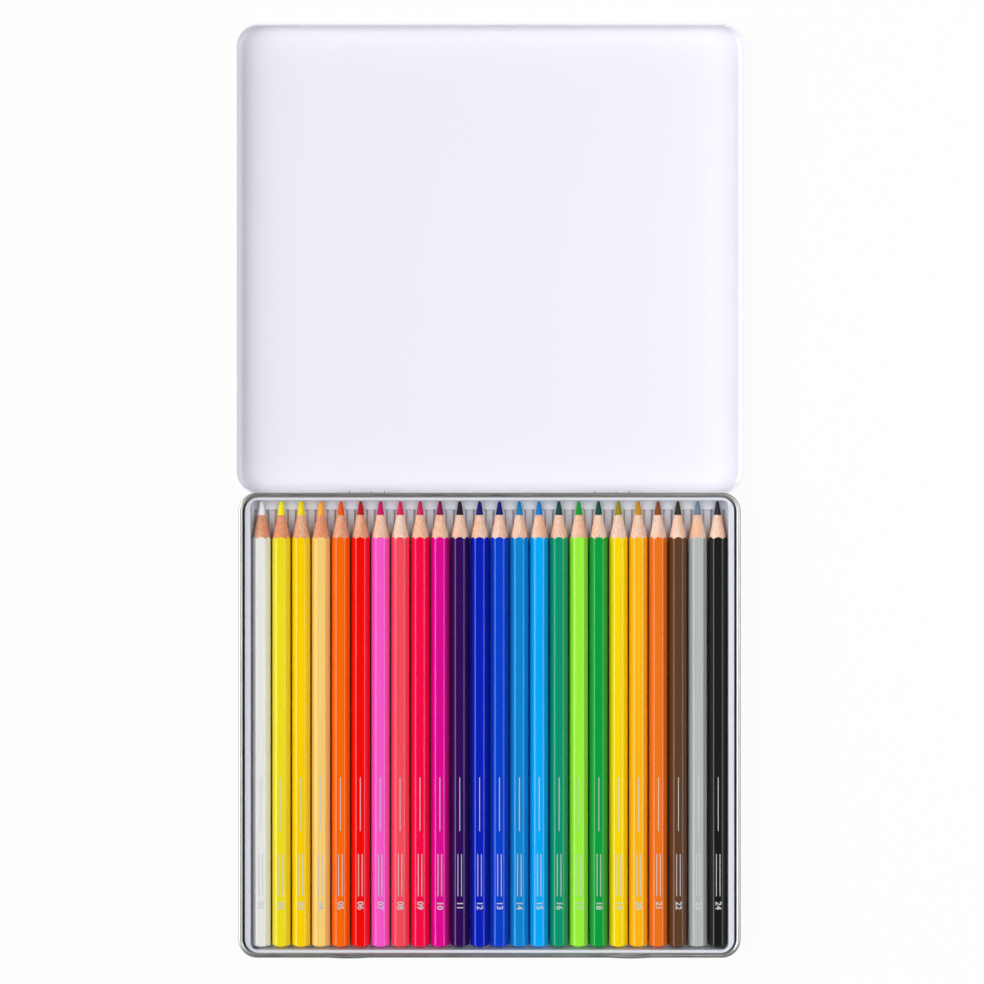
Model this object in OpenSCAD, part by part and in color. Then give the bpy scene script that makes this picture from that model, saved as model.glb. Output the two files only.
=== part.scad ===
// Flat hinged tin for hexagonal colored pencils, shown open flat.
// Origin: middle of the base's underside. +Z up, +Y towards the hinge, millimetres.
// Every size starts at the pencil: the pencils set the tray, the tray the base,
// the base the lid, and the hinge lies where lid and base lie level when opened.

/* [Pencils] */
// How many pencils lie side by side
pencil_count = 24; // [6:1:27]
// Length of a sharpened pencil
pencil_length = 175; // [120:1:190]
// Width across the flats of the hexagonal barrel
barrel_flats = 6.5; // [5.5:0.1:7.5]
// How far each corner of the hexagon is eased inwards
corner_ease = 0.13; // [0.05:0.01:0.3]
// Diameter of the colored lead
lead_d = 3; // [2:0.1:4]
// Full angle of the sharpened cone
cone_angle = 23; // [18:1:30]
// Diameter of the worn flat at the very point
point_d = 0.8; // [0.3:0.1:1.2]
// Height of the domed, dipped end
dome_h = 1.3; // [0.5:0.1:2]
// Thickness of the dipped cap that closes the end over the lead
cap_t = 1.6; // [1.4:0.1:3]

/* [Tray] */
// Thickness of the formed plastic sheet
tray_t = 0.4; // [0.3:0.05:0.6]
// Free space between two neighbouring pencils at their widest
pencil_gap = 0.53; // [0.4:0.01:1.5]
// Space between a pencil's lower sides and its groove, measured level
groove_gap = 0.25; // [0.15:0.05:0.3]
// Height that a pencil's flat lies above the groove floor
rest_gap = 0.1; // [0.05:0.05:0.2]
// Clearance between the ledge and the sharpened cone above it
ledge_gap = 0.3; // [0.2:0.05:0.6]
// How far the level ledge reaches under the pencil points
ledge_l = 3.3; // [2:0.1:5]
// Height of the ridges between the grooves above the grooves' floors
ridge_h = 1; // [0.5:0.1:1.5]
// Level shoulder beside the outermost groove
shoulder_w = 0.65; // [0.4:0.05:2]
// Width of the flange beside the outermost pencils
side_flange_w = 2.16; // [1:0.01:6]
// Width of the flange behind the points and the domed ends
end_flange_w = 1.13; // [0.6:0.01:4]
// Depth of the flange below the bead's top
flange_drop = 1.4; // [1.2:0.1:2]
// Corner radius of the opening in the flange
opening_r = 2.8; // [2:0.1:5]
// Space between a pencil's end and the tray
end_gap = 0.2; // [0.2:0.05:1.5]
// Extra space in front of the points, to lift a pencil out
point_gap = 0.1; // [0.1:0.05:2]
// Slope of the tray's inner wall away from upright
wall_draft = 1; // [1:0.5:5]
// Clearance between the tray's ends and the base's wall
tray_fit = 0.05; // [0.02:0.01:0.15]
// Open space between the flange's sides and the base's wall
side_open = 0.7; // [0.05:0.05:1]

/* [Base] */
// Thickness of the tinplate, also of the lid
tin_t = 0.3; // [0.2:0.05:0.4]
// Height of the base, over its bead
base_h = 10; // [9.5:0.1:14]
// Diameter of the bead rolled outwards round the rim
bead_d = 1.8; // [1.6:0.1:2.4]
// Share of the bead's width that its raw edge leaves open underneath
bead_open = 0.4; // [0.2:0.05:0.5]
// Corner radius inside the base's wall
corner_r = 5.6; // [5:0.1:9]
// Inside radius of the fold between floor and wall
base_fold = 0.5; // [0.3:0.1:0.8]
// Distance of the two snap swellings on the front bead from the middle
snap_x = 55; // [30:1:60]
// Length of a snap swelling
snap_l = 16; // [10:1:20]
// How far a snap swelling stands out of the bead
snap_out = 0.35; // [0.2:0.05:0.4]

/* [Lid] */
// Width of the lid's edge beyond the bead, all round
lid_margin = 1.2; // [1:0.1:2]
// Clearance between the closed lid's panel and the bead
lid_lift = 0.2; // [0.1:0.05:0.5]
// Height of the lid
lid_h = 6.9; // [6:0.1:7]
// Inside radius of the fold between the lid's panel and skirt
lid_fold = 1.5; // [0.8:0.1:2]
// Height of the hem folded inwards at the lid's rim
hem_h = 1.6; // [1:0.1:2.5]
// Distance of the two front dimples from the middle
dimple_x = 73; // [65:1:80]
// Distance of the side dimples from the hinge line
dimple_y = 37; // [20:1:60]
// Radius of the round punch that makes the dimples
dimple_r = 2.2; // [1.8:0.1:2.6]
// Distance of a dimple's middle below the closed base's bead
dimple_drop = 1.1; // [1:0.1:1.5]
// How far a dimple stands into the lid
dimple_in = 0.55; // [0.3:0.05:0.6]

/* [Hinges] */
// Distance of each hinge from the middle
hinge_x = 48; // [30:1:60]
// Width of a hinge over both lid knuckles
hinge_w = 13.3; // [11:0.1:18]
// Width of the base's middle knuckle
knuckle_w = 3; // [3:0.1:7]
// Height of the tab that carries a lid knuckle, below the knuckle
tab_l = 0.45; // [0.3:0.05:1]
// Side gap between neighbouring knuckles
knuckle_gap = 0.15; // [0.1:0.05:0.3]
// Diameter of the wire pin
pin_d = 1.1; // [1:0.05:1.1]
// Radial clearance of the pin in its knuckles
pin_fit = 0.05; // [0.03:0.01:0.08]
// Share of a knuckle's width that its raw edge leaves open
knuckle_open = 0.35; // [0.2:0.05:0.5]
// Side play of a wall's window round the knuckles that pass through it
window_play = 0.1; // [0.05:0.05:0.2]
// Length of pin showing past the hinge on each side
pin_end = 0.3; // [0.1:0.05:0.35]

/* [Hidden] */
$fn = 64;
eps = 0.5; // overshoot of a cut past the face it cuts
skin = 0.02; // depth at which one piece of a part ends inside another
// Pencils
hexagon_r = barrel_flats / sqrt(3);
corners_r = hexagon_r - corner_ease;
cone_slope = tan(cone_angle / 2);
cone_l = (corners_r - point_d / 2) / cone_slope;
dome_r = (corners_r * corners_r + dome_h * dome_h) / (2 * dome_h);
pitch = 2 * corners_r + pencil_gap;
// Tray, from the base's floor up
groove_z = tin_t + tray_t;
pencil_z = groove_z + rest_gap + barrel_flats / 2;
ledge_z = pencil_z - point_d / 2 - ledge_l * cone_slope - ledge_gap;
groove_half = hexagon_r / 2 + groove_gap;
mouth_half = groove_half + (ledge_z - groove_z) * tan(30);
ridge_half = groove_half + ridge_h * tan(30);
ridge_z = groove_z + ridge_h;
mitre = tray_t * tan(30);
flange_z = base_h - flange_drop;
draft_w = (flange_z - ledge_z) * tan(wall_draft);
side_w = shoulder_w + draft_w + side_flange_w + side_open;
end_w = draft_w + end_flange_w + tray_fit;
// Base: half sizes to the inner face of its wall
inner_w = (pencil_count - 1) * pitch / 2 + mouth_half + side_w;
inner_d = (pencil_length + 2 * end_gap + point_gap) / 2 + end_w;
pencil_y = -inner_d + end_w + end_gap;
point_y = pencil_y + pencil_length;
groove_rear = point_y - ledge_l;
bead_r = bead_d / 2;
// Lid: its inner face, outside the bead
lid_in = bead_d + lid_margin - tin_t;
lid_w = inner_w + lid_in;
lid_d = inner_d + lid_in;
closed_h = base_h + lid_lift + tin_t;
// Hinge: the lid's skirt runs into its knuckles, and half the closed height
// brings panel and base floor level when the tin is opened flat
knuckle_r = pin_d / 2 + pin_fit + tin_t;
hinge_y = lid_d + tin_t - knuckle_r;
hinge_z = closed_h / 2;
finger_w = (hinge_w - knuckle_w) / 2 - knuckle_gap;
notch_w = hinge_w + 2 * (pin_end + window_play);
notch_z = hinge_z - knuckle_r - tab_l;

paints = [
    "#f2f2ee", "#f4de28", "#fcd30a", "#fbcc66", "#fb6f0c", "#f01416",
    "#f24cb6", "#f4405c", "#ee104a", "#d62898", "#3c2060", "#1430b0",
    "#0a3eb0", "#0a7cbc", "#0e9ae8", "#08866c", "#84dc2c", "#08902a",
    "#dcc414", "#ecae1c", "#b8641a", "#3a2212", "#8c8e90", "#2a2c2e"];
leads = [
    "#f8f8f4", "#f4ec20", "#fadc28", "#fcae40", "#f8600c", "#b80c1c",
    "#d0106c", "#da2a60", "#b8143c", "#981058", "#24142e", "#14187c",
    "#161a74", "#1482b8", "#1a7cc8", "#1e5048", "#169a38", "#18503c",
    "#98982a", "#d49028", "#8e5424", "#38302a", "#6c86a0", "#26282e"];

function two_digits(i) = str(i < 10 ? "0" : "", i);
function casing_name(i) = str("pencil_", two_digits(i), "_casing");
function lead_name(i) = str("pencil_", two_digits(i), "_lead");
function pencil_x(i) = (i - (pencil_count + 1) / 2) * pitch;

// Carries a wall section round a rounded rectangle. In the section, x = 0 is the
// inner face of the wall and +x points out of the box.
module round_box(half_w, half_d, r) {
    for (k = [0:3]) {
        out = k % 2 == 0 ? half_w : half_d;
        along = (k % 2 == 0 ? half_d : half_w) - r;
        rotate(90 * k) {
            translate([out, along, 0]) rotate([90, 0, 0])
                linear_extrude(2 * along) children();
            translate([out - r, along, 0]) rotate_extrude(angle = 90)
                translate([r, 0]) children();
        }
    }
}

// Section of a drawn sheet pan: the fold at the floor's edge and the wall up to top
module pan_section(t, fold, top) {
    translate([-fold, t + fold]) intersection() {
        difference() {
            circle(fold + t);
            circle(fold);
        }
        translate([0, -fold - t]) square(fold + t);
    }
    translate([0, t + fold]) square([t, top - t - fold]);
}

// Level plate with round corners, its edge set in by inset from the half sizes
module plate(half_w, half_d, r, inset, t) {
    for (x = [r - half_w, half_w - r], y = [r - half_d, half_d - r])
        translate([x, y, 0]) cylinder(r = r - inset, h = t);
    translate([inset - half_w, r - half_d, 0]) cube([2 * (half_w - inset), 2 * (half_d - r), t]);
    translate([r - half_w, inset - half_d, 0]) cube([2 * (half_w - r), 2 * (half_d - inset), t]);
}

// Outward curl that rolls the raw edge away, open towards the wall underneath
module bead_section() {
    translate([bead_r, base_h - bead_r]) difference() {
        circle(bead_r);
        circle(bead_r - tin_t);
        translate([-bead_r - eps, -bead_r - eps])
            square([bead_d * bead_open + eps, bead_r + eps]);
    }
}

// A sheet curled round the hinge wire. It arrives from below on the -X side and
// its raw end stops short of it.
module curl_section() {
    difference() {
        circle(knuckle_r);
        circle(knuckle_r - tin_t);
        translate([-knuckle_r - eps, -knuckle_r - eps])
            square([2 * knuckle_r * knuckle_open + eps, knuckle_r + eps]);
    }
}

// Places a hinge piece, given as a section in (Y, Z) round the pin, w wide
module across_hinge(w) {
    rotate([90, 0, 90]) translate([0, 0, -w / 2]) linear_extrude(w) children();
}

module at_hinges() {
    for (s = [-1, 1]) translate([s * hinge_x, 0, 0]) children();
}

// Lens-shaped swelling of the front bead, an arc of the bead's own round section
// with its core filled so that it springs over the lid's hem without denting
module snap_swelling() {
    arc_r = (snap_l * snap_l / 4 + snap_out * snap_out) / (2 * snap_out);
    half = asin(snap_l / 2 / arc_r);
    translate([0, arc_r - snap_out - inner_d - bead_r, base_h - bead_r])
        rotate(-90 - half) rotate_extrude(angle = 2 * half)
            translate([arc_r, 0]) circle(bead_r - skin);
    translate([-snap_l / 2, -inner_d - bead_r, base_h - bead_r]) rotate([0, 90, 0])
        cylinder(r = bead_r - tin_t / 2, h = snap_l);
}

// The rear wall's tongue and knuckle, with the window that the tongue is cut from
module base_knuckle() {
    tongue_z = hinge_z - knuckle_r;
    translate([-knuckle_w / 2, inner_d, tongue_z])
        cube([knuckle_w, hinge_y - inner_d, tin_t]);
    translate([0, hinge_y, hinge_z]) across_hinge(knuckle_w)
        mirror([1, -1]) curl_section();
}

module base_tin() {
    window_w = knuckle_w + 2 * window_play;
    window_z = hinge_z - knuckle_r + tin_t;
    color("silver") {
        difference() {
            union() {
                round_box(inner_w, inner_d, corner_r) {
                    union() {
                        pan_section(tin_t, base_fold, base_h - bead_r);
                        bead_section();
                    }
                }
                plate(inner_w, inner_d, corner_r, base_fold, tin_t);
                for (s = [-1, 1]) translate([s * snap_x, 0, 0]) snap_swelling();
            }
            at_hinges() translate([-window_w / 2, inner_d - eps, window_z])
                cube([window_w, tin_t + 2 * eps, base_h - bead_d - tin_t - window_z]);
        }
        at_hinges() base_knuckle();
    }
}

// Round dent pressed into the lid's skirt: the skin that stands inside ...
module dimple_skin() {
    intersection() {
        translate([dimple_r - dimple_in, 0, 0]) sphere(dimple_r);
        translate([-dimple_r, -dimple_r, -dimple_r]) cube([dimple_r + tin_t / 2, 2 * dimple_r, 2 * dimple_r]);
    }
}

// ... and the hollow that the punch leaves outside
module dimple_hollow() {
    translate([dimple_r - dimple_in, 0, 0]) sphere(dimple_r - tin_t);
}

// Places a dimple made for a skirt that faces +X
module at_dimples() {
    dimple_z = closed_h - base_h + bead_d + dimple_drop;
    for (s = [-1, 1]) {
        translate([s * dimple_x, lid_d, dimple_z]) rotate(90) children();
        translate([s * lid_w, dimple_y - hinge_y, dimple_z]) rotate(90 - 90 * s) children();
    }
}

// Skirt of the lid with its hem folded flat inside
module skirt_section() {
    pan_section(tin_t, lid_fold, lid_h - tin_t);
    translate([-tin_t, lid_h - hem_h]) square([2 * tin_t, hem_h - tin_t]);
    translate([0, lid_h - tin_t]) circle(tin_t);
}

// The lid's knuckles on each side of the base's one
module lid_knuckles() {
    for (s = [-1, 1]) translate([s * (knuckle_w / 2 + knuckle_gap + finger_w / 2), 0, 0]) {
        translate([-finger_w / 2, -lid_d - tin_t, notch_z]) cube([finger_w, tin_t, hinge_z - notch_z]);
        translate([0, -hinge_y, hinge_z]) across_hinge(finger_w) curl_section();
    }
}

// Made about its own middle, panel down, and set where it lies opened flat
module lid() {
    color("white") translate([0, 2 * hinge_y, 0]) {
        difference() {
            union() {
                round_box(lid_w, lid_d, corner_r + lid_in) skirt_section();
                plate(lid_w, lid_d, corner_r + lid_in, lid_fold, tin_t);
                at_dimples() dimple_skin();
            }
            at_dimples() dimple_hollow();
            at_hinges() translate([-notch_w / 2, -lid_d - 2 * tin_t, notch_z])
                cube([notch_w, 4 * tin_t, lid_h]);
        }
        at_hinges() lid_knuckles();
    }
}

module hinge_pin(s) {
    pin_l = hinge_w + 2 * pin_end;
    color("gainsboro") translate([s * hinge_x - pin_l / 2, hinge_y, hinge_z])
        rotate([0, 90, 0]) cylinder(d = pin_d, h = pin_l);
}

// One groove in the sheet's upper face, between two ridges, or between a ridge and the
// side shoulder; dx and dz shift it by the sheet's thickness to give the lower face
function groove_line(i, dx, dz) = let (
    x = pencil_x(i),
    ridge = [ridge_half + dx, ridge_z - dz],
    shoulder = [mouth_half + dx, ledge_z - dz],
    left = i == 1 ? shoulder : ridge,
    right = i == pencil_count ? shoulder : ridge) [
    [x - left[0], left[1]], [x - groove_half - dx, groove_z - dz],
    [x + groove_half + dx, groove_z - dz], [x + right[0], right[1]]];

// Section across all the grooves, one sheet with level shoulders at both ends
module groove_section() {
    side = inner_w - side_w + shoulder_w + tray_t;
    upper = [for (i = [1:pencil_count]) each groove_line(i, 0, 0)];
    lower = [for (i = [1:pencil_count]) each groove_line(i, mitre, tray_t)];
    polygon(concat(
        [[-side, ledge_z]], upper, [[side, ledge_z], [side, ledge_z - tray_t]],
        [for (k = [len(lower) - 1:-1:0]) lower[k]], [[-side, ledge_z - tray_t]]));
}

// Runs from y0 to y1 along the pencils
module along_pencils(y0, y1) {
    translate([0, y1, 0]) rotate([90, 0, 0]) linear_extrude(y1 - y0) children();
}

// One formed sheet: the grooves, the ledge behind them, the drafted wall round both and
// the flange that the wall carries out to the tin. foot_w and foot_d are the half sizes
// inside the wall's foot, out_w and out_d those of the sheet, which ends inside the wall.
module pencil_tray() {
    foot_w = inner_w - side_w + shoulder_w;
    foot_d = inner_d - end_w;
    foot_r = opening_r - draft_w;
    out_w = foot_w + tray_t - skin;
    out_d = foot_d + tray_t - skin;
    color("ghostwhite") {
        intersection() {
            union() {
                along_pencils(-out_d, groove_rear + tray_t) groove_section();
                for (y = [[-out_d, -foot_d], [groove_rear, groove_rear + tray_t]])
                    translate([-out_w, y[0], tin_t])
                        cube([2 * out_w, y[1] - y[0], ledge_z - tin_t]);
                translate([-out_w, groove_rear, ledge_z - tray_t])
                    cube([2 * out_w, out_d - groove_rear, tray_t]);
            }
            translate([0, 0, tin_t]) plate(out_w, out_d, foot_r + out_w - foot_w, 0, flange_z);
        }
        round_box(foot_w, foot_d, foot_r) polygon([
            [0, ledge_z - tray_t], [0, ledge_z], [draft_w, flange_z],
            [draft_w + tray_t, flange_z], [tray_t, ledge_z], [tray_t, ledge_z - tray_t]]);
        translate([0, 0, flange_z - tray_t]) difference() {
            plate(inner_w - side_open, inner_d - tray_fit, corner_r - side_open / 2, 0, tray_t);
            translate([0, 0, -eps])
                plate(foot_w + draft_w + tray_t / 2, foot_d + draft_w + tray_t / 2,
                    opening_r + tray_t / 2, 0, tray_t + 2 * eps);
        }
    }
}

// The pencil as it is turned and sharpened, along +Y from the domed end
module pencil_round() {
    rotate([-90, 0, 0]) rotate_extrude() intersection() {
        polygon([
            [0, 0], [corners_r, 0], [corners_r, pencil_length - cone_l],
            [point_d / 2, pencil_length], [0, pencil_length]]);
        union() {
            translate([0, dome_r]) circle(dome_r);
            translate([0, dome_r]) square([corners_r + eps, pencil_length]);
        }
    }
}

// The lead runs from the cap at the end to the point
module lead_bore(over) {
    translate([0, cap_t, 0]) rotate([-90, 0, 0]) cylinder(d = lead_d, h = pencil_length - cap_t + over);
}

module at_pencil(i) {
    translate([pencil_x(i), pencil_y, pencil_z]) children();
}

module pencil_casing(i) {
    color(paints[(i - 1) % len(paints)]) at_pencil(i) difference() {
        intersection() {
            pencil_round();
            rotate([-90, 0, 0]) cylinder(r = hexagon_r, h = pencil_length, $fn = 6);
        }
        lead_bore(eps);
    }
}

module pencil_lead(i) {
    color(leads[(i - 1) % len(leads)]) at_pencil(i) intersection() {
        pencil_round();
        lead_bore(0);
    }
}

base_tin();
lid();
pencil_tray();
hinge_pin(-1);  // hinge_pin_left
hinge_pin(1);  // hinge_pin_right
for (i = [1:pencil_count]) {
    pencil_casing(i);
    pencil_lead(i);
}
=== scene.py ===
import math

import bmesh
import bpy
from mathutils import Matrix, Vector


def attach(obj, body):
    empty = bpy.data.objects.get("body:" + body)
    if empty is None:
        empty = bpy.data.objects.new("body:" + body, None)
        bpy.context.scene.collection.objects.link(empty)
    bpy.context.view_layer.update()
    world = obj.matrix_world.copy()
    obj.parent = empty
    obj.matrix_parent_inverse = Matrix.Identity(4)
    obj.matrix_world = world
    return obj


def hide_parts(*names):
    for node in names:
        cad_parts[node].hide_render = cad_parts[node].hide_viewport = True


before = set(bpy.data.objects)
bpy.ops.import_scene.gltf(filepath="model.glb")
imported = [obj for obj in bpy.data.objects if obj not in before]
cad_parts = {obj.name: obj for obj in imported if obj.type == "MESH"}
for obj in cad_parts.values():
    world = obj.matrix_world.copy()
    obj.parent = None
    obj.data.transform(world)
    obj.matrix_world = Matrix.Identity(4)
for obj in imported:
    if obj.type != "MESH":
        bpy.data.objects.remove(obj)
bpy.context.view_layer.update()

bpy.ops.object.select_all(action="DESELECT")


# ---------------------------------------------------------------- Base tin
# The lower half: a shallow pan drawn from 0.3 mm tinplate. Its raw edge is rolled outwards into
# a bead, which the lid's hem snaps over at two swellings in front. Two white-lacquered tongues,
# lanced out of the rear wall and curled round the hinge wires, are its hinge knuckles.

MM = 0.001
TIN_T = 0.3
BASE_H = 10
BASE_HALF_W, BASE_HALF_D = 96.301, 89.033  # to the inner face of the wall
BASE_CORNER = 5.6
BEAD_R, BEAD_TURN = 0.9, 283
BASE_FOLD = 0.65  # to the middle of the sheet, as all bends are
CORNER_STEPS = 20
SNAP_X, SNAP_HALF, SNAP_OUT, SNAP_STEPS = 55, 8, 0.32, 8
HINGE_X, HINGE_Y, HINGE_Z = 48, 91.133, 5.25
KNUCKLE_R, KNUCKLE_TURN = 0.75, 291
KNUCKLE_W = 3
KNUCKLE_EDGE = 0.05
WINDOW_PLAY = 0.1
FLOOR_RIM = 0.4
WELD = 0.002  # points closer than this are merged into one
NEAR = 0.01  # how exactly a place is met when points are picked


def begin_outline(start):
    """A single point in edit mode, at a place in millimetres, to draw an outline from."""
    bpy.ops.mesh.primitive_plane_add(size=MM)
    bpy.ops.object.mode_set(mode="EDIT")
    bpy.ops.mesh.select_mode(type="VERT")
    bpy.ops.mesh.select_all(action="SELECT")
    bpy.ops.mesh.merge(type="CENTER")
    bpy.ops.transform.translate(value=Vector(start) * MM)


def draw_section(start, ahead, left, strokes):
    """Draws a folded sheet's section. Each stroke is its straight lengths, with a point left
    after each, then a bend to the left in degrees and the bend's radius."""
    begin_outline(start)
    place, ahead, left = Vector(start) * MM, Vector(ahead), Vector(left)
    axis = ahead.cross(left)
    for lengths, bend, radius in strokes:
        for length in lengths:
            step = ahead * length * MM
            bpy.ops.mesh.extrude_region_move(TRANSFORM_OT_translate={"value": step})
            place += step
        if bend:
            centre = place + left * math.copysign(radius * MM, bend)
            steps = max(2, round(abs(bend) / 12))  # one for every 12 degrees
            bpy.ops.mesh.spin(steps=steps, angle=math.radians(bend), center=centre, axis=-axis)
            turn = Matrix.Rotation(math.radians(bend), 3, axis)
            place = centre + turn @ (place - centre)
            ahead, left = turn @ ahead, turn @ left


def carry_round(half_w, half_d, corner, cuts):
    """Carries a section, drawn where the +X side meets its rear corner, round the rectangle.
    cuts gives, for the rear, left, front and right side, where along it to leave an edge."""
    bpy.ops.mesh.select_all(action="SELECT")
    signs = [(1, 1), (-1, 1), (-1, -1), (1, -1)]
    courses = [(-1, 0, 0), (0, -1, 0), (1, 0, 0), (0, 1, 0)]
    for k, (sign, course) in enumerate(zip(signs, courses)):
        centre = Vector(((half_w - corner) * sign[0], (half_d - corner) * sign[1], 0)) * MM
        bpy.ops.mesh.spin(steps=CORNER_STEPS, angle=math.radians(90), center=centre,
                          axis=(0, 0, -1))
        reach = (half_w if k % 2 == 0 else half_d) - corner
        stops = [-reach, *sorted(cuts[k]), reach]
        for a, b in zip(stops, stops[1:]):
            step = Vector(course) * (b - a) * MM
            bpy.ops.mesh.extrude_region_move(TRANSFORM_OT_translate={"value": step})
    bpy.ops.mesh.select_all(action="SELECT")
    bpy.ops.mesh.remove_doubles(threshold=WELD * MM)


def pick(kind, test):
    """Selects the vertices, edges or faces whose middle, in millimetres, passes the test."""
    bpy.ops.mesh.select_mode(type=kind)
    bpy.ops.mesh.select_all(action="DESELECT")
    data = bpy.context.object.data
    mesh = bmesh.from_edit_mesh(data)
    found = {"VERT": mesh.verts, "EDGE": mesh.edges, "FACE": mesh.faces}[kind]
    for item in found:
        points = [item.co] if kind == "VERT" else [v.co for v in item.verts]
        if test(sum(points, Vector()) / len(points) / MM):
            item.select_set(True)
    mesh.select_flush_mode()
    bmesh.update_edit_mesh(data)


def fill_floor(height):
    """Closes the loop at that height with a panel, whose narrow rim keeps its shading level."""
    pick("VERT", lambda p: p.z < height + NEAR)
    bpy.ops.mesh.edge_face_add()
    bpy.ops.mesh.inset(thickness=FLOOR_RIM * MM, depth=0)


def complete(name, modifiers, angle=35):
    """Leaves edit mode, names the piece, applies its modifiers and smooths its shading."""
    if bpy.context.object.mode == "EDIT":
        bpy.ops.object.mode_set(mode="OBJECT")
    piece = bpy.context.object
    piece.name = piece.data.name = name
    for kind, settings in modifiers:
        modifier = piece.modifiers.new(kind, kind)
        for key, value in settings.items():
            setattr(modifier, key, value)
        bpy.ops.object.modifier_apply(modifier=modifier.name)
    bpy.ops.object.shade_smooth_by_angle(angle=math.radians(angle))
    weighted = piece.modifiers.new("WEIGHTED_NORMAL", "WEIGHTED_NORMAL")
    weighted.keep_sharp = True
    bpy.ops.object.modifier_apply(modifier=weighted.name)
    return piece


def curl_strip(name, start, ahead, left, straight, turn, width, sheet_t):
    """A strip of sheet, straight at its root and then curled to go round the hinge wire."""
    draw_section(start, ahead, left, [((straight,), turn, KNUCKLE_R)])
    bpy.ops.mesh.select_all(action="SELECT")
    bpy.ops.mesh.extrude_region_move(TRANSFORM_OT_translate={"value": (width * MM, 0, 0)})
    return complete(name, [
        ("SOLIDIFY", {"thickness": sheet_t * MM, "offset": 0}),
        ("BEVEL", {"width": KNUCKLE_EDGE * MM, "segments": 2, "angle_limit": math.radians(50)})])


def linear(code, strength=1):
    """An sRGB hex colour as a shader's linear one, made paler or darker by strength."""
    parts = [int(code[i:i + 2], 16) / 255 for i in (1, 3, 5)]
    return [strength * (c / 12.92 if c < 0.04045 else ((c + 0.055) / 1.055) ** 2.4)
            for c in parts] + [1]


def add(tree, kind, inputs=(), **settings):
    """Adds a node. Each input is given by name or number, as a value or as a socket to link."""
    made = tree.nodes.new("ShaderNode" + kind)
    for key, value in settings.items():
        setattr(made, key, value)
    for key, value in dict(inputs).items():
        if isinstance(value, bpy.types.NodeSocket):
            tree.links.new(value, made.inputs[key])
        else:
            made.inputs[key].default_value = value
    return made


def start_material(name, **constants):
    """A named material with its shader, whose constants are set on the shader's own sockets."""
    made = bpy.data.materials.new(name)
    made.use_nodes = True
    shader = made.node_tree.nodes["Principled BSDF"]
    for key, value in constants.items():
        shader.inputs[key.replace("_", " ")].default_value = value
    return made, made.node_tree, shader


def stretched_noise(tree, size_mm, detail=3, rough=0.5):
    """Noise on object coordinates whose grain has that size along each axis."""
    place = add(tree, "TexCoord")
    scaled = add(tree, "Mapping", {"Vector": place.outputs["Object"],
                                   "Scale": [1 / (s * MM) for s in size_mm]})
    noise = add(tree, "TexNoise", {"Vector": scaled.outputs[0], "Scale": 1, "Detail": detail,
                                   "Roughness": rough})
    return noise.outputs["Fac"]


# Nearly all of a noise's values lie between these
NOISE_RANGE = {"From Min": 0.3, "From Max": 0.7}

# Bright drawn tinplate under clear lacquer: a mirror-like grey metal, softened by the fine
# lines of the rolling mill, which run along X every tenth of a millimetre or so.
tinplate, tree, shader = start_material(
    "bright_tinplate", Metallic=1.0, Base_Color=linear("#b8bab8"))
lines = stretched_noise(tree, (12, 0.12, 0.12))
patches = stretched_noise(tree, (9, 9, 9), detail=2)
haze = add(tree, "MapRange", {"Value": patches, **NOISE_RANGE, "To Min": 0.3, "To Max": 0.42})
tree.links.new(haze.outputs["Result"], shader.inputs["Roughness"])
bump = add(tree, "Bump", {"Height": lines, "Strength": 0.12, "Distance": 0.02 * MM})
tree.links.new(bump.outputs[0], shader.inputs["Normal"])

# Gloss white lacquer, baked on the flat sheet before drawing: smooth, with a slight
# orange peel about 2 mm across.
white_lacquer, tree, shader = start_material(
    "gloss_white_lacquer", Base_Color=linear("#f3f2fa"), Roughness=0.28, IOR=1.5)
peel = stretched_noise(tree, (2, 2, 2), detail=2)
bump = add(tree, "Bump", {"Height": peel, "Strength": 0.08, "Distance": 0.05 * MM})
tree.links.new(bump.outputs[0], shader.inputs["Normal"])

window_half = KNUCKLE_W / 2 + WINDOW_PLAY
window = [HINGE_X - window_half, HINGE_X + window_half]
window_low, window_high = HINGE_Z - KNUCKLE_R + TIN_T / 2, BASE_H - 2 * BEAD_R - TIN_T
wall_low, wall_high = TIN_T / 2 + BASE_FOLD, BASE_H - BEAD_R
swelling_cuts = [s * SNAP_X + SNAP_HALF * k / SNAP_STEPS
                 for s in (-1, 1) for k in range(-SNAP_STEPS, SNAP_STEPS + 1)]

draw_section((BASE_HALF_W + TIN_T / 2 - BASE_FOLD, BASE_HALF_D - BASE_CORNER, TIN_T / 2),
             (1, 0, 0), (0, 0, 1),
             [((), 90, BASE_FOLD),
              ((window_low - wall_low, window_high - window_low, wall_high - window_high),
               -BEAD_TURN, BEAD_R - TIN_T / 2)])
carry_round(BASE_HALF_W, BASE_HALF_D, BASE_CORNER,
            [[s * x for s in (-1, 1) for x in window], [], swelling_cuts, []])
bpy.ops.mesh.normals_make_consistent(inside=False)
fill_floor(TIN_T / 2)
pick("FACE", lambda p: p.y > BASE_HALF_D and window_low < p.z < window_high
     and window[0] < abs(p.x) < window[1])
bpy.ops.mesh.delete(type="FACE")
for x in swelling_cuts:
    out = SNAP_OUT * (1 - ((abs(x) - SNAP_X) / SNAP_HALF) ** 2)
    pick("VERT", lambda p: p.y < -BASE_HALF_D - TIN_T and p.z > BASE_H - 2 * BEAD_R
         and abs(p.x - x) < NEAR)
    bpy.ops.transform.translate(value=(0, -out * MM, 0))
base_tin = complete("base_pan", [
    ("SOLIDIFY", {"thickness": TIN_T * MM, "offset": 0, "use_even_offset": True})])
base_tin.data.materials.append(tinplate)

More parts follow.
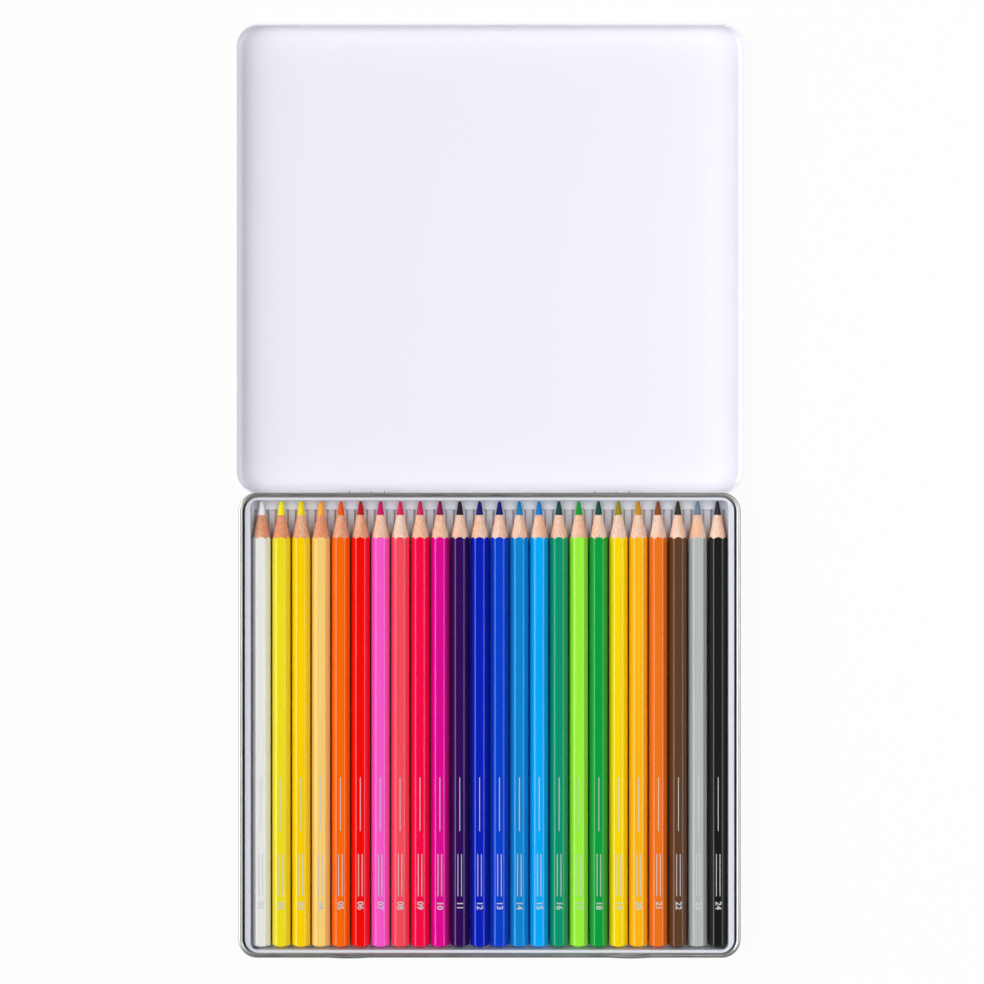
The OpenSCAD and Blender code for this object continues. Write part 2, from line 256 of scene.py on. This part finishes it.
knuckles = [base_tin]
for side in (-1, 1):
    root = (side * HINGE_X - KNUCKLE_W / 2, BASE_HALF_D + TIN_T / 2, HINGE_Z - KNUCKLE_R)
    knuckles.append(curl_strip("base_knuckle", root, (0, 1, 0), (0, 0, 1), HINGE_Y - root[1],
                               KNUCKLE_TURN, KNUCKLE_W, TIN_T))
    knuckles[-1].data.materials.append(white_lacquer)


def join(pieces):
    """Joins the pieces into the first of them."""
    bpy.ops.object.select_all(action="DESELECT")
    for piece in pieces:
        piece.select_set(True)
    bpy.context.view_layer.objects.active = pieces[0]
    bpy.ops.object.join()
    return pieces[0]


base_tin = join(knuckles)
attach(base_tin, "base")
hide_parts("base_tin")


# ---------------------------------------------------------------- Hinge wires
# Two short lengths of drawn steel wire, slid through the knuckles of base and lid.
# They stay in the base's tongues and the lid turns on them.

# Drawn wire: darker than the tin, with fine lines along its length.
wire, tree, shader = start_material("drawn_steel_wire", Metallic=1.0, Base_Color=linear("#a9aaac"))
draw_lines = stretched_noise(tree, (3, 0.05, 0.05))
haze = add(tree, "MapRange", {"Value": draw_lines, **NOISE_RANGE, "To Min": 0.25, "To Max": 0.4})
tree.links.new(haze.outputs["Result"], shader.inputs["Roughness"])
for name in ("hinge_pin_left", "hinge_pin_right"):
    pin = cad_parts[name]
    pin.data.materials.clear()
    pin.data.materials.append(wire)


# ---------------------------------------------------------------- Lid
# The upper half, opened flat behind the base: a drawn tinplate pan, white lacquered, its rim
# turned inwards into a hem. Four dimples and the hem catch the base's bead when it is shut,
# and four curled tabs take the hinge wires.

LID_HALF_W, LID_HALF_D = 99.001, 91.733  # to the inner face of the skirt
LID_CORNER = 8.7
LID_H = 6.9
LID_FOLD = 1.65
HEM_R, HEM_H = 0.16, 1.3
LID_T = 0.28
DIMPLE_X, DIMPLE_Y, DIMPLE_Z = 73, 37 - HINGE_Y, 3.4
DIMPLE_R, DIMPLE_IN, DIMPLE_STEPS = 1.7, 0.55, 6
SKIRT_PLIES = 0.5  # deep enough to take in the hem folded behind the skirt
NOTCH_HALF, NOTCH_Z = 7, 3.9
TAB_W, TAB_X, TAB_LAP = 5, 4.15, 0.2

# The skirt and its sides are cut finely enough for the dimples to be pushed in smoothly
skirt_low, skirt_high = TIN_T / 2 + LID_FOLD, LID_H - 2 * HEM_R
fine_cut = 0.35
upper_cut = (skirt_high - skirt_low) / DIMPLE_STEPS - fine_cut
skirt_cuts = [fine_cut] * DIMPLE_STEPS + [upper_cut] * DIMPLE_STEPS
dimple_cuts = [DIMPLE_R * k / DIMPLE_STEPS for k in range(-DIMPLE_STEPS, DIMPLE_STEPS + 1)]
draw_section((LID_HALF_W + TIN_T / 2 - LID_FOLD, LID_HALF_D - LID_CORNER, TIN_T / 2),
             (1, 0, 0), (0, 0, 1),
             [((), 90, LID_FOLD), (skirt_cuts, 180, HEM_R), ((HEM_H,), 0, 0)])
carry_round(LID_HALF_W, LID_HALF_D, LID_CORNER, [
    [s * DIMPLE_X + c for s in (-1, 1) for c in dimple_cuts],
    [-DIMPLE_Y + c for c in dimple_cuts],
    [s * HINGE_X + e * NOTCH_HALF for s in (-1, 1) for e in (-1, 1)],
    [DIMPLE_Y + c for c in dimple_cuts]])
bpy.ops.mesh.normals_make_consistent(inside=False)
fill_floor(TIN_T / 2)
pick("FACE", lambda p: p.y < -LID_HALF_D + SKIRT_PLIES and p.z > NOTCH_Z
     and abs(abs(p.x) - HINGE_X) < NOTCH_HALF)
bpy.ops.mesh.delete(type="FACE")

# Each dimple is pushed into the skirt and its hem together
mesh = bmesh.from_edit_mesh(bpy.context.object.data)
for x, y, inward in ((-DIMPLE_X, LID_HALF_D, (0, -1)), (DIMPLE_X, LID_HALF_D, (0, -1)),
                     (-LID_HALF_W, DIMPLE_Y, (1, 0)), (LID_HALF_W, DIMPLE_Y, (-1, 0))):
    for v in mesh.verts:
        p = v.co / MM
        across = abs((p.x - x) * inward[0] + (p.y - y) * inward[1])
        from_middle = math.hypot((p.x - x) * inward[1], (p.y - y) * inward[0], p.z - DIMPLE_Z)
        if across < SKIRT_PLIES and from_middle < DIMPLE_R:
            push = DIMPLE_IN * (1 - (from_middle / DIMPLE_R) ** 2) ** 1.5
            v.co += Vector((*inward, 0)) * push * MM
bmesh.update_edit_mesh(bpy.context.object.data)
lid = complete("lid_pan", [
    ("SOLIDIFY", {"thickness": LID_T * MM, "offset": 0, "use_even_offset": True})])

tabs = [lid]
for hinge in (-1, 1):
    for side in (-1, 1):
        root = (hinge * HINGE_X + side * TAB_X - TAB_W / 2, -LID_HALF_D - TIN_T / 2,
                NOTCH_Z - TAB_LAP)
        tabs.append(curl_strip("lid_tab", root, (0, 0, 1), (0, -1, 0), HINGE_Z - root[2],
                               -KNUCKLE_TURN, TAB_W, LID_T))
lid = join(tabs)
lid.data.transform(Matrix.Translation((0, 2 * HINGE_Y * MM, 0)))
lid.data.materials.append(white_lacquer)
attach(lid, "lid")
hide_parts("lid")


# ---------------------------------------------------------------- Insert tray
# Vacuum-formed from 0.4 mm white polystyrene sheet: a groove for each pencil with low ridges
# between, a ledge under the points, and a wall round both that turns out into a flange just
# under the tin's bead.

PENCILS = 24
PITCH = 7.7755
TRAY_T = 0.4
GROOVE_Z, RIDGE_Z, LEDGE_Z, FLANGE_Z = 0.7, 1.7, 2.679, 8.6
GROOVE_HALF, RIDGE_HALF, MOUTH_HALF = 2.127, 2.704, 3.269
GROOVE_FRONT, GROOVE_REAR = -87.6, 84.15
END_DRAFT = 0.12
# Half width, half depth and corner radius of the sheet's outline, from the wall's foot out
FOOT, OPENING = (93.338, 87.75, 0.8), (93.441, 87.853, 2.8)
FLANGE, EDGE = (95.5, 88.95, 5.15), (95.6, 88.98, 5.25)
EDGE_DROP = 0.1
SHEET_BEVEL, RIM_BEVEL = 0.12, 0.15
RIM_NEAR = 0.1


def carry_out(outline, wider, rise):
    """Extrudes the selected loop from one rounded rectangle to a wider one, raised by rise."""
    bpy.ops.mesh.extrude_region_move(TRANSFORM_OT_translate={"value": (0, 0, rise * MM)})
    (half_w, half_d, corner), (to_w, to_d, to_corner) = outline, wider
    data = bpy.context.object.data
    mesh = bmesh.from_edit_mesh(data)
    for v in mesh.verts:
        if not v.select:
            continue
        p = v.co / MM
        side, end = math.copysign(1, p.x), math.copysign(1, p.y)
        over_x, over_y = abs(p.x) - half_w + corner, abs(p.y) - half_d + corner
        grown = to_corner / math.hypot(over_x, over_y)
        v.co = Vector((side * (to_w - to_corner + over_x * grown),
                       end * (to_d - to_corner + over_y * grown), p.z)) * MM
    bmesh.update_edit_mesh(data)


bpy.ops.mesh.primitive_plane_add(size=2)
bpy.ops.object.mode_set(mode="EDIT")
bpy.ops.mesh.select_all(action="SELECT")
bpy.ops.transform.resize(value=(FOOT[0] * MM, FOOT[1] * MM, 1))
bpy.ops.transform.translate(value=(0, 0, LEDGE_Z * MM))
bpy.ops.mesh.bevel(offset=FOOT[2] * MM, segments=CORNER_STEPS // 2, affect="VERTICES")
bpy.ops.mesh.select_mode(type="EDGE")
bpy.ops.mesh.select_all(action="SELECT")
bpy.ops.mesh.region_to_loop()
carry_out(FOOT, OPENING, FLANGE_Z - LEDGE_Z)
carry_out(OPENING, FLANGE, 0)
carry_out(FLANGE, EDGE, -EDGE_DROP)
bpy.ops.mesh.select_all(action="SELECT")
bpy.ops.mesh.normals_make_consistent(inside=False)
half_w, half_d, corner = OPENING
pick("EDGE", lambda p: p.z > FLANGE_Z - NEAR
     and math.hypot(max(abs(p.x) - half_w + corner, 0),
                    max(abs(p.y) - half_d + corner, 0)) < corner + RIM_NEAR)
bpy.ops.mesh.bevel(offset=RIM_BEVEL * MM, segments=3)


def on_ledge(p):
    """True on the ledge and on what the grooves are to be pressed into."""
    return p.z < LEDGE_Z + NEAR


pencil_places = [(i - (PENCILS - 1) / 2) * PITCH for i in range(PENCILS)]
for x in pencil_places:
    for side in (-1, 1):
        outermost = x * side == max(pencil_places)
        for off in (GROOVE_HALF, MOUTH_HALF if outermost else RIDGE_HALF):
            pick("FACE", on_ledge)
            bpy.ops.mesh.bisect(plane_co=((x + side * off) * MM, 0, 0), plane_no=(1, 0, 0))
for y in (GROOVE_FRONT, GROOVE_FRONT + END_DRAFT, GROOVE_REAR - END_DRAFT, GROOVE_REAR):
    pick("FACE", on_ledge)
    bpy.ops.mesh.bisect(plane_co=(0, y * MM, 0), plane_no=(0, 1, 0))


def press(low, high, height):
    """Presses what lies between the grooves' ends, where low <= distance <= high from the
    nearest groove's middle, down from the ledge to that height."""
    front, rear = GROOVE_FRONT + END_DRAFT, GROOVE_REAR - END_DRAFT
    pick("VERT", lambda p: front - NEAR < p.y < rear + NEAR
         and low - NEAR < min(abs(p.x - x) for x in pencil_places) < high + NEAR
         and abs(p.x) < max(pencil_places) + GROOVE_HALF + NEAR)
    bpy.ops.transform.translate(value=(0, 0, (height - LEDGE_Z) * MM))


press(0, GROOVE_HALF, GROOVE_Z)
press(RIDGE_HALF, PITCH / 2, RIDGE_Z)
tray = complete("formed_tray", [
    ("BEVEL", {"width": SHEET_BEVEL * MM, "segments": 3, "angle_limit": math.radians(40)}),
    ("SOLIDIFY", {"thickness": TRAY_T * MM, "offset": -1})])

# High-impact polystyrene, formed warm over a mould: white with a satin skin and a faint,
# soft unevenness where the sheet was stretched.
tray_plastic, tree, shader = start_material(
    "satin_polystyrene", Base_Color=linear("#dcdfe8"), Roughness=0.38, IOR=1.59)
stretch = stretched_noise(tree, (4, 9, 4), detail=2)
sheen = add(tree, "MapRange", {"Value": stretch, **NOISE_RANGE, "To Min": 0.32, "To Max": 0.45})
tree.links.new(sheen.outputs["Result"], shader.inputs["Roughness"])
bump = add(tree, "Bump", {"Height": stretch, "Strength": 0.1, "Distance": 0.08 * MM})
tree.links.new(bump.outputs[0], shader.inputs["Normal"])
tray.data.materials.append(tray_plastic)
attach(tray, "base")
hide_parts("pencil_tray")


# ---------------------------------------------------------------- Pencils
# Twenty-four hexagonal pencils, each a 3 mm colored lead glued between two grooved slats of
# incense cedar. The barrel is lacquered in many thin coats, stamped with its number, dipped to
# close its end, and then sharpened: the cutter leaves bare wood and a scalloped lacquer edge.

PENCIL_L = 175
FLATS = 6.5
CORNER_BEVEL = 0.485
CORNERS_R = 3.623  # to the eased corners
CONE_SLOPE = math.tan(math.radians(11.5))
POINT_R = 0.4  # where the sharpener's cone ends
LEAD_R, LEAD_FIT = 1.5, 0.01
# The points are rubbed blunt in the works, and those of three soft light leads the most
WORN_R, BLUNT_R = 0.56, 0.86
BLUNT_LEADS = ("lemon_yellow", "golden_yellow", "apricot")
CROWN_H = 0.5  # of the rounded point, as a share of its radius
CROWN = [(1, 0), (0.87, 0.5), (0.58, 0.84), (0, 1)]  # its shares of that radius and height
CAP_T, CAP_FIT = 1.6, 0.02
DOME_H = 1.3
BUTT_Y, PENCIL_Z = -87.55, 4.05
LEAD_CONE_L = (LEAD_R - POINT_R) / CONE_SLOPE
FLAT_CONE_L = (FLATS / 2 - POINT_R) / CONE_SLOPE  # to where the cone meets the flats
FLARE_SLOPE = math.tan(math.radians(28))  # of the cone's start, where it meets the lacquer
CUT_SIDES, LEAD_SIDES = 72, 32  # of what is turned
CUT_WIDE = 0.3  # how far the cutting shape reaches past the barrel's corners
CUT_START = 0.36  # and how far behind the dome's edge it has that width
DOME_R = (CORNERS_R ** 2 + DOME_H ** 2) / (2 * DOME_H)
BARE_ZONE = 5  # from the cone's foot back, where the cutting shape leaves bare wood
STAMP_X, STAMP_Y, DIGIT_SIZE, DIGIT_BOLD, FOIL_T = -1.0, 18.5, 3.3, 0.06, 0.006
RULE_W = 0.28
RULES = [(-0.7, 20.5, 37), (0.7, 20.5, 37), (0, 46, 67)]  # x, and from where to where in y

# Each pencil's barrel lacquer, and its lead
paints = {
    "white": ("#eeeeea", "#ffffff"), "lemon_yellow": ("#f4e01c", "#f8f010"),
    "golden_yellow": ("#fed400", "#fcde10"), "apricot": ("#fbd275", "#f8ae3a"),
    "orange": ("#fc6a00", "#f05800"), "scarlet": ("#f80204", "#b80010"),
    "pink": ("#fb5acc", "#cc0060"), "coral_red": ("#fa4a5e", "#da1858"),
    "crimson": ("#fc0048", "#c82450"), "magenta": ("#e20096", "#880050"),
    "violet": ("#30045c", "#200822"), "ultramarine": ("#001ebe", "#04086c"),
    "cobalt_blue": ("#0042d0", "#04046e"), "sky_blue": ("#0088d4", "#0080b4"),
    "turquoise_blue": ("#00aafa", "#0478c8"), "viridian": ("#00966c", "#0c4244"),
    "lime_green": ("#9cf23c", "#009830"), "leaf_green": ("#00a03c", "#084838"),
    "olive_yellow": ("#fada02", "#968c04"), "ochre": ("#fdb812", "#ca8c18"),
    "sienna": ("#ee7416", "#884810"), "umber": ("#603c20", "#302c1c"),
    "grey": ("#b4bcbb", "#6c8094"), "black": ("#0c0c0c", "#282630")}


def cedar_for(name, dark, pale, grain_tint):
    """Incense cedar, cut clean by the sharpener: pink-brown, with fine darker grain along the
    pencil and a tone that drifts from slat to slat."""
    made, tree, shader = start_material("incense_cedar_" + name, Roughness=0.6, IOR=1.4)
    tone = stretched_noise(tree, (5, 60, 30), detail=2)
    grain = stretched_noise(tree, (0.3, 7, 0.3), detail=5, rough=0.65)
    drift = add(tree, "MapRange", {"Value": tone, **NOISE_RANGE})
    tones = add(tree, "ValToRGB", {"Fac": drift.outputs["Result"]})
    tones.color_ramp.elements[0].color = linear(dark)
    tones.color_ramp.elements[1].color = linear(pale)
    fibres = add(tree, "MapRange", {"Value": grain, **NOISE_RANGE})
    darker = add(tree, "ValToRGB", {"Fac": fibres.outputs["Result"]})
    darker.color_ramp.elements[0].color = linear(grain_tint)
    darker.color_ramp.elements[1].color = linear("#ffffff")
    # A Mix of two colours takes them at inputs 6 and 7, and gives its own at output 2
    wood = add(tree, "Mix", {"Factor": 1, 6: tones.outputs["Color"], 7: darker.outputs["Color"]},
               data_type="RGBA", blend_type="MULTIPLY")
    tree.links.new(wood.outputs[2], shader.inputs["Base Color"])
    bump = add(tree, "Bump", {"Height": grain, "Strength": 0.3, "Distance": 0.04 * MM})
    tree.links.new(bump.outputs[0], shader.inputs["Normal"])
    return made


# The first few pencils are from redder slats than the rest
RED_SLATS = 6
red_cedar = cedar_for("red", "#fcb086", "#ffd8b4", "#cc9884")
pale_cedar = cedar_for("pale", "#ffd2b0", "#fff2e4", "#deb4a0")

# Hot-stamped foil: pale silver, a little broken where it didn't take.
foil, tree, shader = start_material("silver_stamping_foil", Metallic=0.35, IOR=1.5,
                                    Base_Color=linear("#d4d5d8"))
patches = stretched_noise(tree, (0.3, 0.3, 0.3))
sheen = add(tree, "MapRange", {"Value": patches, **NOISE_RANGE, "To Min": 0.3, "To Max": 0.5})
tree.links.new(sheen.outputs["Result"], shader.inputs["Roughness"])


def lacquer_for(name, colour):
    """Cellulose lacquer: glossy and opaque, with faint streaks from the felt it is drawn through."""
    made, tree, shader = start_material("cellulose_lacquer_" + name, Roughness=0.19, IOR=1.45,
                                        Coat_Weight=0.2, Coat_Roughness=0.08)
    streaks = stretched_noise(tree, (0.6, 60, 0.6), detail=2)
    depth = add(tree, "MapRange", {"Value": streaks, **NOISE_RANGE})
    shade = add(tree, "Mix", {"Factor": depth.outputs["Result"], 6: linear(colour, 0.95),
                              7: linear(colour, 1.04)}, data_type="RGBA")
    tree.links.new(shade.outputs[2], shader.inputs["Base Color"])
    bump = add(tree, "Bump", {"Height": streaks, "Strength": 0.06, "Distance": 0.02 * MM})
    tree.links.new(bump.outputs[0], shader.inputs["Normal"])
    return made


def lead_for(name, colour):
    """Pigmented wax and clay: dense colour with a waxy sheen and a rubbed, uneven skin."""
    made, tree, shader = start_material("wax_lead_" + name, Roughness=0.6, IOR=1.3)
    skin = stretched_noise(tree, (0.25, 0.6, 0.25), detail=4)
    depth = add(tree, "MapRange", {"Value": skin, **NOISE_RANGE})
    shade = add(tree, "Mix", {"Factor": depth.outputs["Result"], 6: linear(colour, 0.85),
                              7: linear(colour, 1.08)}, data_type="RGBA")
    tree.links.new(shade.outputs[2], shader.inputs["Base Color"])
    bump = add(tree, "Bump", {"Height": skin, "Strength": 0.3, "Distance": 0.03 * MM})
    tree.links.new(bump.outputs[0], shader.inputs["Normal"])
    return made


# Stands for the lacquer until each barrel gets its own
plain = bpy.data.materials.new("barrel_stand_in")

# The barrel: a hexagonal rod lying along Y with a flat on top, its corners eased
bpy.ops.mesh.primitive_cylinder_add(vertices=6, radius=FLATS / math.sqrt(3) * MM,
                                    depth=PENCIL_L * MM, rotation=(math.pi / 2, math.pi / 6, 0))
bpy.ops.object.transform_apply()
bpy.ops.object.mode_set(mode="EDIT")
pick("EDGE", lambda p: abs(p.y) < 1)
bpy.ops.mesh.bevel(offset=CORNER_BEVEL * MM, segments=4)
bpy.ops.mesh.select_all(action="SELECT")
bpy.ops.transform.translate(value=(0, PENCIL_L / 2 * MM, 0))
bpy.ops.object.mode_set(mode="OBJECT")
barrel = bpy.context.object
barrel.data.materials.append(plain)


def turn_outline(steps, sides):
    """Draws the outline on by each step out and along, and turns it about Y, as on a lathe."""
    for out, along in steps:
        bpy.ops.mesh.extrude_region_move(
            TRANSFORM_OT_translate={"value": (out * MM, along * MM, 0)})
    bpy.ops.mesh.select_all(action="SELECT")
    bpy.ops.mesh.spin(steps=sides, angle=math.radians(360), center=(0, 0, 0), axis=(0, 1, 0))
    bpy.ops.mesh.select_all(action="SELECT")
    bpy.ops.mesh.remove_doubles(threshold=WELD * MM)
    bpy.ops.mesh.normals_make_consistent(inside=False)


# What the dipping and the sharpener leave of it: a domed end, and a cone bored for the lead
begin_outline((0, 0, 0))
bpy.ops.mesh.spin(steps=6, angle=math.asin(CORNERS_R / DOME_R), center=(0, DOME_R * MM, 0),
                  axis=(0, 0, -1))
flare_r = CORNERS_R + CUT_WIDE - FLATS / 2
flare_l = flare_r / FLARE_SLOPE
turn_outline([(CUT_WIDE, CUT_START),
              (0, PENCIL_L - FLAT_CONE_L - flare_l - DOME_H - CUT_START),
              (-flare_r, flare_l),
              (LEAD_R - FLATS / 2, FLAT_CONE_L - LEAD_CONE_L),
              (0, CAP_T - PENCIL_L + LEAD_CONE_L),
              (-LEAD_R, 0)], CUT_SIDES)
bpy.ops.object.mode_set(mode="OBJECT")
cutter = bpy.context.object
cutter.data.materials.append(plain)
cutter.data.materials.append(pale_cedar)
for face in cutter.data.polygons:
    face.material_index = int(face.center.y > (PENCIL_L - FLAT_CONE_L - BARE_ZONE) * MM)

bpy.ops.object.select_all(action="DESELECT")
barrel.select_set(True)
bpy.context.view_layer.objects.active = barrel
casing = complete("casing_master", [
    ("BOOLEAN", {"operation": "INTERSECT", "solver": "EXACT", "object": cutter,
                 "material_mode": "TRANSFER"})], angle=25)
bpy.data.objects.remove(cutter)


def turn_lead(name, point_r):
    """A lead, closed by the cap behind and turned to a cone with a rubbed, rounded point."""
    crown_h = CROWN_H * point_r
    rounding = [((to_r - from_r) * point_r, (to_h - from_h) * crown_h)
                for (from_r, from_h), (to_r, to_h) in zip(CROWN, CROWN[1:])]
    begin_outline((0, CAP_T + CAP_FIT, 0))
    turn_outline([(LEAD_R - LEAD_FIT, 0),
                  (0, PENCIL_L - LEAD_CONE_L - CAP_T - CAP_FIT),
                  (point_r - LEAD_R + LEAD_FIT, LEAD_CONE_L - crown_h), *rounding], LEAD_SIDES)
    return complete(name, [])


def copy_of(master):
    """A copy of a master piece, with a mesh of its own."""
    copied = master.copy()
    copied.data = master.data.copy()
    bpy.context.scene.collection.objects.link(copied)
    return copied


worn_lead = turn_lead("worn_lead_master", WORN_R)
blunt_lead = turn_lead("blunt_lead_master", BLUNT_R)

for i, (name, (paint, pigment)) in enumerate(paints.items()):
    number = f"{i + 1:02d}"
    place = Matrix.Translation(Vector((pencil_places[i], BUTT_Y, PENCIL_Z)) * MM)

    # The number is foil, stamped on the flat that lies uppermost and read from the right,
    # with plain rules further up the barrel
    bpy.ops.object.text_add(rotation=(0, 0, -math.pi / 2),
                            location=(STAMP_X * MM, STAMP_Y * MM, FLATS / 2 * MM))
    stamp = bpy.context.object
    stamp.data.body = number
    stamp.data.size = DIGIT_SIZE * MM
    stamp.data.offset = DIGIT_BOLD * MM
    stamp.data.extrude = FOIL_T * MM
    bpy.ops.object.convert(target="MESH")
    bpy.ops.object.transform_apply()
    bpy.ops.object.mode_set(mode="EDIT")
    for x, low, high in RULES:
        bpy.ops.mesh.primitive_cube_add(
            size=1, location=(x * MM, (low + high) / 2 * MM, FLATS / 2 * MM),
            scale=(RULE_W * MM, (high - low) * MM, 2 * FOIL_T * MM))
    bpy.ops.object.mode_set(mode="OBJECT")
    stamp = bpy.context.object
    stamp.data.materials.clear()
    stamp.data.materials.append(foil)

    body = copy_of(casing)
    body.material_slots[0].material = lacquer_for(name, paint)
    body.material_slots[1].material = red_cedar if i < RED_SLATS else pale_cedar
    body = join([body, stamp])
    body.name = body.data.name = f"pencil_{number}_cedar_casing"
    body.data.transform(place)
    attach(body, f"pencil_{number}")
    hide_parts(f"pencil_{number}_casing")

    core = copy_of(blunt_lead if name in BLUNT_LEADS else worn_lead)
    core.name = core.data.name = f"pencil_{number}_wax_lead"
    core.data.transform(place)
    core.data.materials.clear()
    core.data.materials.append(lead_for(name, pigment))
    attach(core, f"pencil_{number}")
    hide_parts(f"pencil_{number}_lead")
for master in (casing, worn_lead, blunt_lead):
    bpy.data.objects.remove(master)
bpy.data.materials.remove(plain)


# ---------------------------------------------------------------- Table, light and camera
# A plain white table, a large soft lamp at the left, a small one at the right, and a surround
# that is bright at the table's height and dark overhead, which draws the rolled edges. The
# camera looks straight down on the opened tin.

MIDDLE = Vector((0, 0.09, 0))
TABLE_DROP = Vector((0, 0, 0.00005))
CLEAR_WHITE = 0.93  # how much of the table's white the camera sees without shadow

bpy.ops.mesh.primitive_plane_add(size=30, location=MIDDLE - TABLE_DROP)
table = bpy.context.object
table.name = "table_top"

# Matt white board. The camera and reflections see most of its white as a steady glow, clean and
# with only a faint shadow, while the light that it throws back on the tin is that of plain card.
matt_white, tree, shader = start_material("matt_white_board", Base_Color=linear("#f2f2f2"),
                                          Roughness=0.9)
ray = add(tree, "LightPath")
seen = add(tree, "Math", {0: ray.outputs["Is Camera Ray"], 1: ray.outputs["Is Glossy Ray"]},
           operation="MAXIMUM")
share = add(tree, "Math", {0: seen.outputs[0], 1: CLEAR_WHITE}, operation="MULTIPLY")
glow = add(tree, "Emission", {"Color": (1, 1, 1, 1), "Strength": 1})
mixed = add(tree, "MixShader", {0: share.outputs[0], 1: shader.outputs[0], 2: glow.outputs[0]})
tree.links.new(mixed.outputs[0], tree.nodes["Material Output"].inputs["Surface"])
table.data.materials.append(matt_white)

world = bpy.data.worlds.new("studio")
bpy.context.scene.world = world
world.use_nodes = True
tree = world.node_tree
tree.nodes.clear()
ray = add(tree, "LightPath")
direction = add(tree, "TexCoord")
height = add(tree, "SeparateXYZ", {0: direction.outputs["Generated"]})
sky = add(tree, "ValToRGB", {0: height.outputs["Z"]})
sky.color_ramp.elements.new(0.5)
levels = ((0.04, 0.8), (0.25, 0.18), (0.9, 0.035))  # sine of the height, and how bright
for stop, (rise, level) in zip(sky.color_ramp.elements, levels):
    stop.position = rise
    stop.color = linear("#ffffff", level)
behind = add(tree, "Mix", {0: ray.outputs["Is Camera Ray"]}, data_type="RGBA")
tree.links.new(sky.outputs["Color"], behind.inputs[6])
behind.inputs[7].default_value = (1, 1, 1, 1)
light = add(tree, "Background", {"Color": behind.outputs[2], "Strength": 1})
add(tree, "OutputWorld", {"Surface": light.outputs[0]})

for name, place, width, height, power in (
        ("left_softbox", (-2.5, 0.15, 2.1), 3.0, 3.4, 110),
        ("right_softbox", (0.64, 0.12, 0.85), 0.9, 0.9, 6.8)):
    bpy.ops.object.light_add(type="AREA", location=place)
    lamp = bpy.context.object
    lamp.name = name
    lamp.data.shape = "RECTANGLE"
    lamp.data.size, lamp.data.size_y = width, height
    lamp.data.energy = power
    lamp.rotation_euler = (MIDDLE - Vector(place)).to_track_quat("-Z", "Y").to_euler()

bpy.ops.object.camera_add(location=(0.00096, 0.09105, 1.104))
camera = bpy.context.object
camera.data.lens = 102.6
camera.data.sensor_width = 36
camera.data.clip_start = 0.01
bpy.context.scene.camera = camera
bpy.context.scene.view_settings.view_transform = "Standard"
